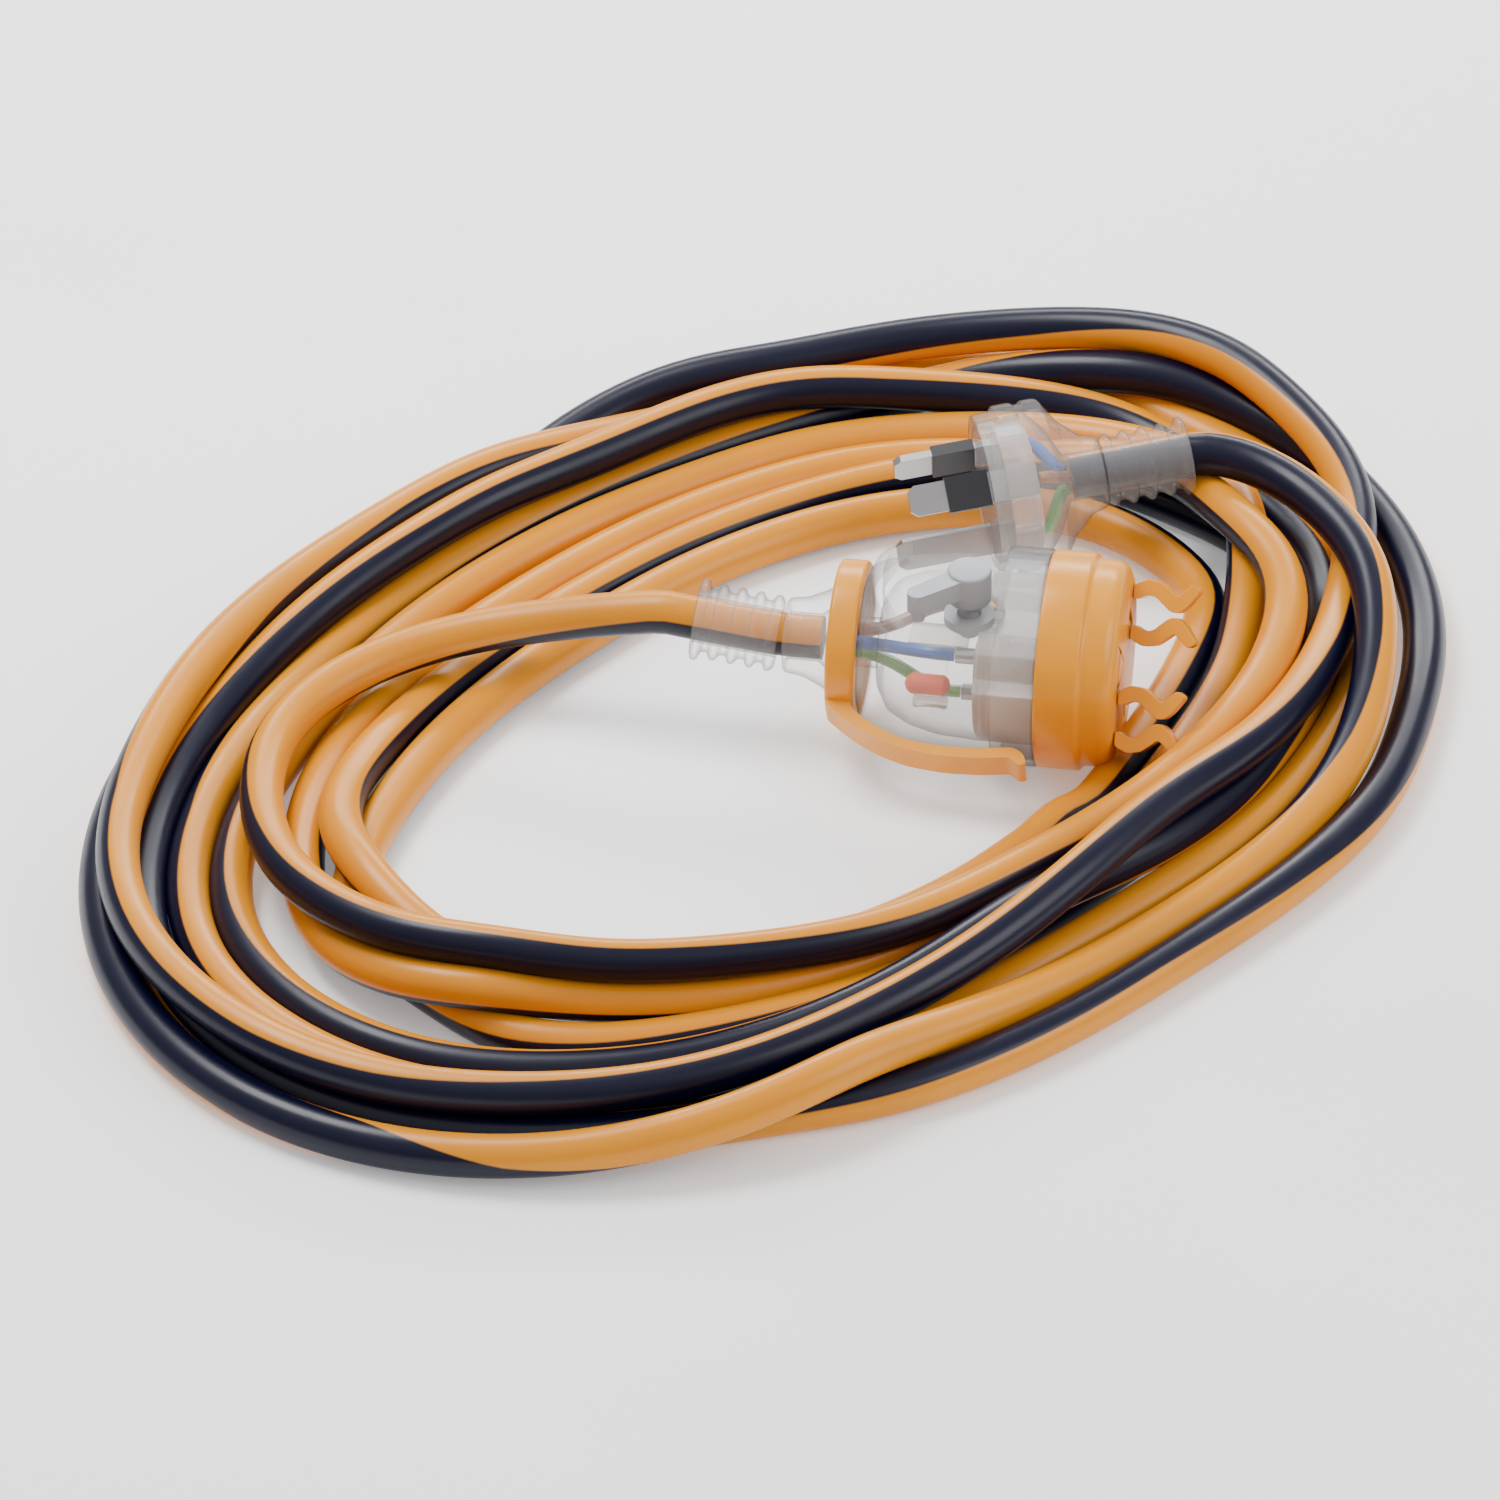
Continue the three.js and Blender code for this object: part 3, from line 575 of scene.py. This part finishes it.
def settled(points, rounds):
    """Lets the turns rest on the floor and on each other without passing through one another."""
    count = len(points)
    home = points.copy()
    free = np.ones(count, bool)
    free[:SOCKET_HELD] = False
    free[-PLUG_HELD:] = False
    width = 2 * CABLE_R
    apart = int(np.ceil(2.2 * width / POINT_STEP))
    index = np.arange(count)
    past_socket = free & (index > CLEAR_AFTER)
    short_of_plug = free & (index < count - CLEAR_BEFORE)
    rods = [(socket_local(-44), socket_local(16.6), RING_R + CABLE_R + 0.3, past_socket)]
    for side in (-1, 1):
        place = (side * TONGUES_UP, side * TONGUES_ASIDE)
        rods.append((socket_local(15, *place), socket_local(30, *place), TONGUES_R, past_socket))
    rods.append((plug_local(-8), plug_local(8), PLUG_R + CABLE_R + 0.3, short_of_plug))
    rods.append((plug_local(-36), plug_local(-8), 8.2 + CABLE_R + 0.2, short_of_plug))
    for moment in range(rounds):
        if moment % PAIRS_EVERY == 0:
            a, b = close_pairs(points, NEAR * width, apart)
            higher = np.where(np.abs(home[a, 2] - home[b, 2]) > 1.5, np.sign(home[a, 2] - home[b, 2]), -1.0)
        late = moment > LATE * rounds
        delta = points[a] - points[b]
        dist = np.linalg.norm(delta, axis=1)
        plan = np.linalg.norm(delta[:, :2], axis=1)
        way = delta / np.maximum(dist, 1e-3)[:, None]
        crossing = plan < CROSSING * width
        if not late:
            way[crossing] = np.stack([0 * plan, 0 * plan, higher], axis=1)[crossing]
        gap = np.where(dist < width, width - dist, 0.0)
        wrong = crossing & (delta[:, 2] * higher < 0) & (not late)
        gap = np.where(wrong, np.minimum(width + np.abs(delta[:, 2]), MOST_LIFT), gap)
        push = (0.5 * gap)[:, None] * way
        move = np.zeros_like(points)
        hits = np.zeros(count)
        touching = gap > 0
        np.add.at(move, a[touching], push[touching])
        np.add.at(move, b[touching], -push[touching])
        np.add.at(hits, a[touching], 1)
        np.add.at(hits, b[touching], 1)
        move /= np.maximum(hits, 1)[:, None]
        for start, end, radius, near in rods:
            move += push_from_rod(points, np.array(start), np.array(end), radius, near)
        move = spread_out(move, 1 if late else EARLY_PASSES) * (1.0 if late else EARLY_GAIN)
        if not late:
            move[:, 2] -= SINK
            move[:, :2] += HOME_PULL * (home - points)[:, :2]
        points[free] += move[free]
        bent = points.copy()
        bent[2:-2] = (-points[:-4] + 4 * points[1:-3] + 10 * points[2:-2] + 4 * points[3:-1]
                      - points[4:]) / 16
        for _ in range(1 if late else 3):
            bent[1:-1, 2] = 0.12 * bent[:-2, 2] + 0.76 * bent[1:-1, 2] + 0.12 * bent[2:, 2]
        points[free] = bent[free]
        points[free, 2] = np.maximum(points[free, 2], CABLE_R + 0.05)
    return points


def tightest_bend(points):
    """The smallest radius that the cable's line bends to, in millimetres."""
    ahead = points[6:] - points[3:-3]
    behind = points[3:-3] - points[:-6]
    reach = np.linalg.norm(ahead, axis=1) * np.linalg.norm(behind, axis=1)
    turned = np.arccos(np.clip((ahead * behind).sum(1) / reach, -1, 1))
    at = int(turned.argmax())
    return round(float(np.sqrt(reach[at]) / turned[at]), 1), [round(float(v)) for v in points[at + 3]]


def deepest_overlap(points):
    """How far the cable lies inside itself at worst, in millimetres."""
    a, b = close_pairs(points, 2 * CABLE_R, 8)
    if not len(a):
        return 0.0
    return float((2 * CABLE_R - np.linalg.norm(points[a] - points[b], axis=1)).max())


def cable_route():
    """The settled route and the turn of its orange side at each point."""
    points, tones = first_route()
    points, tones, _ = resampled(points, tones, POINT_STEP)
    points = settled(points, 600)
    return resampled(points, tones, 3.2)


def cable_mesh(points, tones, sides=24):
    """A closed tube round the route, with the stripe kept as a value on each vertex."""
    bm = bmesh.new()
    tone = bm.verts.layers.float.new("tone")
    ring = None
    tangents = np.gradient(points, axis=0)
    tangents /= np.linalg.norm(tangents, axis=1)[:, None]
    for place, tangent, turned in zip(points, tangents, tones):
        side = np.cross(tangent, (0, 0, 1))
        side /= np.linalg.norm(side)
        up = np.cross(side, tangent)
        verts = []
        for i in range(sides):
            angle = 2 * pi * i / sides
            at = place + CABLE_R * (cos(angle) * up + sin(angle) * side)
            vert = bm.verts.new(at)
            vert[tone] = cos(angle - radians(turned))
            verts.append(vert)
        if ring:
            for i in range(sides):
                j = (i + 1) % sides
                bm.faces.new((ring[i], ring[j], verts[j], verts[i]))
        else:
            bm.faces.new(verts)
        ring = verts
    bm.faces.new(ring[::-1])
    return bm


class CORD_OT_cable(bpy.types.Operator):
    """Lay the two-tone cable from the socket through its turns to the plug"""
    bl_idname = "cord.cable"
    bl_label = "Cable"

    def execute(self, context):
        points, tones, length = cable_route()
        bm = cable_mesh(points, tones)
        cable = finished(bm, "cable", Matrix.Identity(4), sheath(), "root",
                         ("cable_coil", "cable_tail_socket", "cable_tail_plug"), edge=False, sharp=60)
        print("cable", round(length), "mm long,", round(points[:, 2].max(), 1), "mm high, overlap",
              round(deepest_overlap(points), 2), "bend", tightest_bend(points))
        return {"FINISHED"}


# ---- socket -----------------------------------------------------------------------------------------
BODY_PROFILE = [(BODY_REAR, 0), (BODY_REAR, 15.9), (-34, 17.6), (-28, 19.3), (-20, 20.4), (-12, BODY_R),
                (-0.3, BODY_R), (-0.3, 0)]


class CORD_OT_socket_body(bpy.types.Operator):
    """Build the clear socket body with its lever deck, guard wall and window"""
    bl_idname = "cord.socket_body"
    bl_label = "Socket body"

    def execute(self, context):
        outer = spun(rounded(BODY_PROFILE, 1.6))
        cavity = spun(rounded([(-34, 0), (-34, 9), (-31.5, 13.5), (-27, 16), (-21, 17.5), (-13, 18),
                               (1, 18), (1, 0)], 1.0))
        ceiling = DECK_Z - DECK_WALL
        cavity = boolean(cavity, [(block((60, 60, 20), (-20, 0, ceiling + 10)), "DIFFERENCE")])
        deck = block((27.7, 60, 20), (-22.65, 0, DECK_Z + 10))
        path = spun([(-40, 0), (-40, 5.2), (-33, 5.2), (-33, 0)], 32)
        spindle = turn(spun([(-4, 0), (-4, 2.6), (4, 2.6), (4, 0)], 32), -90, "Y")
        bmesh.ops.translate(spindle, vec=(-KNOB_BACK, 0, DECK_Z), verts=spindle.verts)
        window = turn(block((9.6, 2, 9.6), (0, -BODY_R + 0.1, 0)), -CLAW_ROLL, "X")
        bmesh.ops.translate(window, vec=(-22.7, 0, 0), verts=window.verts)
        body = boolean(outer, [(deck, "DIFFERENCE"), (cavity, "DIFFERENCE"), (path, "DIFFERENCE"),
                               (spindle, "DIFFERENCE"), (window, "DIFFERENCE"), (self.guard(), "UNION")])
        finished(body, "socket_shell", SOCKET, clear_pvc(), "root", ("socket_body",), sharp=30)
        return {"FINISHED"}

    def guard(self):
        """The curved wall behind the lever, cut to a slope that peaks at its far end."""
        arc = [radians(a) for a in np.linspace(*GUARD_SWEEP, 31)]
        ring = [(GUARD_OUTER * cos(a) - KNOB_BACK, GUARD_OUTER * sin(a)) for a in arc]
        ring += [(GUARD_INNER * cos(a) - KNOB_BACK, GUARD_INNER * sin(a)) for a in reversed(arc)]
        wall = plate(ring, 9.8, DECK_Z - 2)
        slope = turn(block((60, 60, 20), (0, 0, 10)), GUARD_SLOPE, "X")
        bmesh.ops.translate(slope, vec=(-KNOB_BACK, 6, 20), verts=slope.verts)
        limit = spun(rounded([(x, r + GUARD_PROUD if r else 0) for x, r in BODY_PROFILE], 1.6))
        return boolean(wall, [(slope, "DIFFERENCE"), (limit, "INTERSECT")])


def boot_profile(length, core, rib, ribs):
    """The outline of a ribbed boot that runs back from x = 0, its last rib slightly larger."""
    pitch = length / (ribs - 0.4)
    profile = [(0, BORE_R), (0, core + 0.5)]
    for i in range(ribs):
        x = -i * pitch
        r = rib + 0.6 if i == ribs - 1 else rib
        profile += [(x - 0.5, r - 0.4), (x - 0.9, r), (x - 1.7, r), (x - 2.1, r - 0.5)]
        if i < ribs - 1:
            profile += [(x - 2.4, core), (x - pitch + 0.1, core)]
    return profile + [(-length, core + 0.6), (-length, BORE_R)]


class CORD_OT_clear_parts(bpy.types.Operator):
    """Build the socket's neck, ribbed boot and front ring"""
    bl_idname = "cord.clear_parts"
    bl_label = "Clear neck, boot and ring"

    def execute(self, context):
        painted_outline_shade = BODY_REAR - 0.9
        neck = spun(rounded([(-46.5, BORE_R), (NECK_REAR, BORE_R), (NECK_REAR, 7.6), (-49.5, 8.2),
                             (-45.5, 10), (-42, 12.3), (painted_outline_shade, 13.5), (painted_outline_shade, 11.3), (-43, 8)], 0.8))
        finished(neck, "neck", SOCKET, clear_pvc(), "root", ("socket_neck",))
        boot = spun(rounded(boot_profile(BOOT_LENGTH, 6.5, 7.9, 5), 0.5, 3), 64)
        tilt = (SOCKET @ Matrix.Translation((BOOT_START * MM, 0, 0))
                @ Matrix.Rotation(radians(BOOT_PITCH), 4, "Y"))
        finished(boot, "boot", tilt, clear_pvc(), "root", ("socket_boot",), edge=False)
        ring = spun(rounded([(-0.3, BODY_R + 0.3), (-9, BODY_R + 0.3), (-9, RING_R - 0.5), (-8.4, RING_R),
                             (-0.3, RING_R)], 0.5))
        finished(ring, "lens_ring", SOCKET, clear_pvc(), "root", ("front_ring",))
        return {"FINISHED"}


def blade(angle, width, thick, length, x):
    """A flat bar on the pin circle, as wide and thick as a pin or its slot."""
    bm = block((length, thick, width), (x, 0, 0))
    turn(bm, 0 if angle == 270 else angle, "X")
    bmesh.ops.translate(bm, vec=(0, PIN_CIRCLE * cos(radians(angle)), PIN_CIRCLE * sin(radians(angle))),
                        verts=bm.verts)
    return bm


JAW_HALF = [(0, 2.6), (0, 5.6), (2.6, 6.9), (5.4, 6.5), (7.8, 4.6), (8.8, 3.8), (10, 4.6), (11.8, 6.6),
            (13.6, 5.4), (11.4, 2.2), (9.6, 0.5), (7.9, 0.5), (6.2, 1.9), (4.6, 3.4), (2.8, 3.7), (1.2, 2.8)]
YOKE_STRIP = [(-43.3, 14.6), (-43.3, 16.9), (-38.5, 20.6), (-33, 23.8), (-26, 26.2), (-18, 27.1),
              (-10, 26.8), (-4.2, 25.9), (-2.2, 27.6), (-0.6, 27.2), (-1.2, 25), (-3.6, 23.5), (-10, 24.5),
              (-18, 24.8), (-26, 23.9), (-32, 21.6), (-37.6, 17.9), (-38.6, 14.6)]


def rounded_loop(points, radius, steps=3):
    """Rounds the corners of a closed outline."""
    ring = [points[-1]] + list(points) + [points[0]]
    return rounded(ring, radius, steps)[1:-1]


class CORD_OT_orange_parts(bpy.types.Operator):
    """Build the orange cap, its jaws and the sliding yoke"""
    bl_idname = "cord.orange_parts"
    bl_label = "Cap, jaws and yoke"

    def execute(self, context):
        cap = self.cap()
        finished(cap, "cap", SOCKET, orange_moulding(), "root", ("front_cap",), sharp=30)
        for place, side in (("far", 1), ("near", -1)):
            for level, sign in (("upper", 1), ("lower", -1)):
                outline = [(x + 16.3, sign * z) for x, z in rounded_loop(JAW_HALF, 0.8)]
                jaw = turn(plate(outline, 8, -4), 90 + JAW_ROLL, "X")
                at = side * JAW_ASIDE * Vector((0, cos(radians(CLAW_ROLL)), sin(radians(CLAW_ROLL))))
                bmesh.ops.translate(jaw, vec=at, verts=jaw.verts)
                finished(jaw, f"tongue_{place}_{level}", SOCKET, orange_moulding(), "root",
                         (f"jaw_{place}_{level}",), sharp=30)
        self.yoke()
        return {"FINISHED"}

    def cap(self):
        """The cap with its stepped rim and its three slots."""
        outline = rounded([(13, 19.2), (0, 19.2), (0, RING_R), (8.6, RING_R), (9.4, RING_R - 1.1),
                           (13.6, RING_R - 1.2), (15.2, RING_R - 2.2), (16, RING_R - 4), (16, 0)], 0.7)
        shell = spun([(13, 0)] + outline)
        tools = [(blade(angle, 7.2, 2.3, 8, 14.5), "DIFFERENCE") for angle in SLOT_ANGLES.values()]
        return boolean(shell, tools)

    def yoke(self):
        """The yoke: a ring round the neck and one curved arm with a flared end."""
        ring = spun(rounded([(-43.5, 14), (-43.5, 16), (-42.9, 16.6), (-38.1, 16.6),
                             (-37.5, 16), (-37.5, 14)], 0.5))
        arm = turn(plate(rounded_loop(YOKE_STRIP, 2.5, 4), 7, -3.5), 180 + CLAW_ROLL, "X")
        finished(boolean(ring, [(arm, "UNION")]), "yoke_moulding", SOCKET, orange_moulding(),
                 "yoke", ("yoke",), sharp=30)


class CORD_OT_lever(bpy.types.Operator):
    """Build the grey lock lever"""
    bl_idname = "cord.lever"
    bl_label = "Lock lever"

    def execute(self, context):
        knob = spun(rounded([(4.4, 0), (4.4, 2.2), (12.9, 2.2), (12.9, KNOB_R), (KNOB_TOP, KNOB_R),
                             (KNOB_TOP, 0)], 0.7), 64)
        turn(knob, -90, "Y")
        half = [radians(a) for a in np.linspace(-90, 90, 13)]
        tip = [(-ARM_LENGTH + 2.1 - 2.1 * cos(a), 2.1 * sin(a)) for a in half]
        bar = plate([(0, 2.5), (0, -2.5)] + tip, 4.4, DECK_Z + 3)
        foot = turn(spun([(-1.7, 0), (-1.7, 1.5), (1.7, 1.5), (1.7, 0)], 32), -90, "Y")
        bmesh.ops.translate(foot, vec=(-ARM_LENGTH + 2.2, 0, DECK_Z + 2.4), verts=foot.verts)
        for bm in (bar, foot):
            turn(bm, ARM_REST, "Z")
        lever = boolean(knob, [(bar, "UNION"), (foot, "UNION")])
        bmesh.ops.translate(lever, vec=(-KNOB_BACK, 0, 0), verts=lever.verts)
        finished(lever, "lever", SOCKET, grey_moulding(), "lever", ("lock_lever",), sharp=30)
        return {"FINISHED"}


# ---- plug -------------------------------------------------------------------------------------------
class CORD_OT_plug(bpy.types.Operator):
    """Build the clear plug body, face and boot"""
    bl_idname = "cord.plug"
    bl_label = "Plug"

    def execute(self, context):
        body = spun(rounded([(7, 14.8), (-4, 14.8), (-7.2, 11), (-10.2, BORE_R), (-17.6, BORE_R),
                             (-17.6, 7.4), (-14.2, 8.4), (-10, 12.2), (-7.6, 15.9), (-6.8, 17.2),
                             (-6, PLUG_R), (-3.4, PLUG_R), (-3, 16.9), (-1.6, 16.9),
                             (-1.2, PLUG_R), (2.6, PLUG_R), (3.2, 16.4), (7, 16.4)], 0.5))
        finished(body, "plug_shell", PLUG, clear_pvc(), "root", ("plug_body",))
        face = spun(rounded([(3.6, 0), (3.6, 14.5), (6.4, 14.5), (6.8, 14.1), (6.8, 0)], 0.3))
        tools = [(blade(angle, 6.85, 2.13, 10, 5), "DIFFERENCE") for angle in SLOT_ANGLES.values()]
        finished(boolean(face, tools), "plug_front", PLUG, clear_pvc(), "root", ("plug_face",))
        boot = spun(rounded(boot_profile(18, 6.5, 7.6, 5), 0.5, 3), 64)
        finished(boot, "plug_relief", PLUG @ Matrix.Translation((-18 * MM, 0, 0)), clear_pvc(),
                 "root", ("plug_boot",), edge=False)
        return {"FINISHED"}


class CORD_OT_inner_finishes(bpy.types.Operator):
    """Give the pins, contacts, cores and inner mouldings their finishes"""
    bl_idname = "cord.inner_finishes"
    bl_label = "Inner finishes"

    def execute(self, context):
        finishes = {
            "pin_metal": material("nickel_pin", (0.42, 0.40, 0.40), 0.28, 1.0,
                                  grain=(1800.0, 120.0), bump=0.1),
            "brass": material("brass_contact", (0.78, 0.56, 0.24), 0.25, 1.0, grain=(1500.0, 110.0)),
            "black_plastic": material("pin_insulation", (0.012, 0.012, 0.016), 0.4),
            "white_plastic": material("insulator", (0.86, 0.80, 0.78), 0.22, Transmission_Weight=0.75,
                                      IOR=1.3),
            "core_brown": material("core_brown", (0.55, 0.10, 0.03), 0.35),
            "core_blue": material("core_blue", (0.03, 0.14, 0.55), 0.35),
            "core_green": material("core_green", (0.10, 0.45, 0.10), 0.35),
            "lamp_red": material("lamp_red", (0.85, 0.10, 0.05), 0.12, Coat_Weight=0.5),
            "grey_plastic": grey_moulding(),
        }
        for part in frame["record"]["subparts"]:
            finish = finishes.get(part["material_slot"])
            node = NODES[part["node"]]
            if finish and not node.hide_render:
                for slot in node.material_slots:
                    slot.material = finish
        return {"FINISHED"}


# ---- stage ------------------------------------------------------------------------------------------
class CORD_OT_stage(bpy.types.Operator):
    """Set the pale floor, the soft lights and the camera"""
    bl_idname = "cord.stage"
    bl_label = "Stage"

    def execute(self, context):
        settings = context.scene.stage_settings
        bm = bmesh.new()
        bmesh.ops.create_grid(bm, x_segments=2, y_segments=2, size=6)
        mesh = bpy.data.meshes.new("floor")
        bm.to_mesh(mesh)
        bm.free()
        floor = bpy.data.objects.new("floor", mesh)
        context.scene.collection.objects.link(floor)
        mesh.materials.append(material("floor_paper", (0.95, 0.95, 0.95), 0.75, grain=(40.0, 3.0), bump=0.0,
                                       spread=0.04, Emission_Color=(1, 1, 1, 1), Emission_Strength=0.25))
        world = bpy.data.worlds.new("studio")
        world.use_nodes = True
        nodes, links = world.node_tree.nodes, world.node_tree.links
        way = nodes.new("ShaderNodeTexCoord")
        split = nodes.new("ShaderNodeSeparateXYZ")
        lift = nodes.new("ShaderNodeMapRange")
        lift.inputs["To Min"].default_value = 0.25
        lift.inputs["To Max"].default_value = 1.15
        links.new(way.outputs["Generated"], split.inputs["Vector"])
        links.new(split.outputs["Z"], lift.inputs["Value"])
        links.new(lift.outputs["Result"], nodes["Background"].inputs["Strength"])
        nodes["Background"].inputs["Color"].default_value = (1, 1, 1, 1)
        context.scene.world = world
        back = Vector((sin(settings.azimuth) * cos(settings.elevation),
                       -cos(settings.azimuth) * cos(settings.elevation), sin(settings.elevation)))
        right = Vector((cos(settings.azimuth), sin(settings.azimuth), 0))
        away = Vector((-back.x, -back.y, 0)).normalized()
        up = Vector((0, 0, 1))
        self.softbox("key", -0.35 * right + 0.25 * away + 0.85 * up, 0.5, 0.35, 10)
        self.softbox("fill", 0.9 * right - 0.3 * away + 0.6 * up, 0.6, 0.6, 6)
        self.softbox("painted_outline_shade", 0.1 * right + 0.9 * away + 0.5 * up, 1.0, 0.18, 9)
        target = Vector((-1.0, 13.0, 0)) * MM
        sensor = 36.0
        distance = settings.width * settings.lens / sensor
        camera = bpy.data.objects.new("camera", bpy.data.cameras.new("camera"))
        camera.data.lens = settings.lens
        camera.data.sensor_width = sensor
        camera.data.clip_end = 20
        camera.location = target + back * distance
        camera.rotation_euler = (-back).to_track_quat("-Z", "Y").to_euler()
        context.scene.collection.objects.link(camera)
        context.scene.camera = camera
        return {"FINISHED"}

    def softbox(self, name, at, width, height, power):
        """A soft lamp that faces the middle of the coil."""
        data = bpy.data.lights.new(name, "AREA")
        data.shape = "RECTANGLE"
        data.size, data.size_y, data.energy = width, height, power
        lamp = bpy.data.objects.new(name, data)
        lamp.location = at
        lamp.rotation_euler = (-at).to_track_quat("-Z", "Y").to_euler()
        bpy.context.scene.collection.objects.link(lamp)


class CORD_PT_panel(bpy.types.Panel):
    """Buttons that build the cord piece by piece"""
    bl_label = "Shore Power Cord"
    bl_idname = "CORD_PT_panel"
    bl_space_type = "VIEW_3D"
    bl_region_type = "UI"
    bl_category = "Cord"

    def draw(self, context):
        for group in (context.scene.cord_settings, context.scene.socket_settings,
                      context.scene.stage_settings):
            for name in group.__annotations__:
                self.layout.prop(group, name)
        for operator in OPERATORS:
            self.layout.operator(operator.bl_idname)


OPERATORS = (CORD_OT_stage, CORD_OT_socket_body, CORD_OT_clear_parts, CORD_OT_orange_parts, CORD_OT_lever,
             CORD_OT_plug, CORD_OT_inner_finishes, CORD_OT_cable)
SETTINGS = {"cord_settings": CordSettings, "socket_settings": SocketSettings, "stage_settings": StageSettings}


def register():
    for name, group in SETTINGS.items():
        bpy.utils.register_class(group)
        setattr(bpy.types.Scene, name, bpy.props.PointerProperty(type=group))
    for made in OPERATORS + (CORD_PT_panel,):
        bpy.utils.register_class(made)


def unregister():
    for made in reversed(OPERATORS + (CORD_PT_panel,)):
        bpy.utils.unregister_class(made)
    for name, group in SETTINGS.items():
        delattr(bpy.types.Scene, name)
        bpy.utils.unregister_class(group)


def main():
    register()
    for operator in OPERATORS:
        family, name = operator.bl_idname.split(".")
        getattr(getattr(bpy.ops, family), name)()


if __name__ == "__main__":
    main()
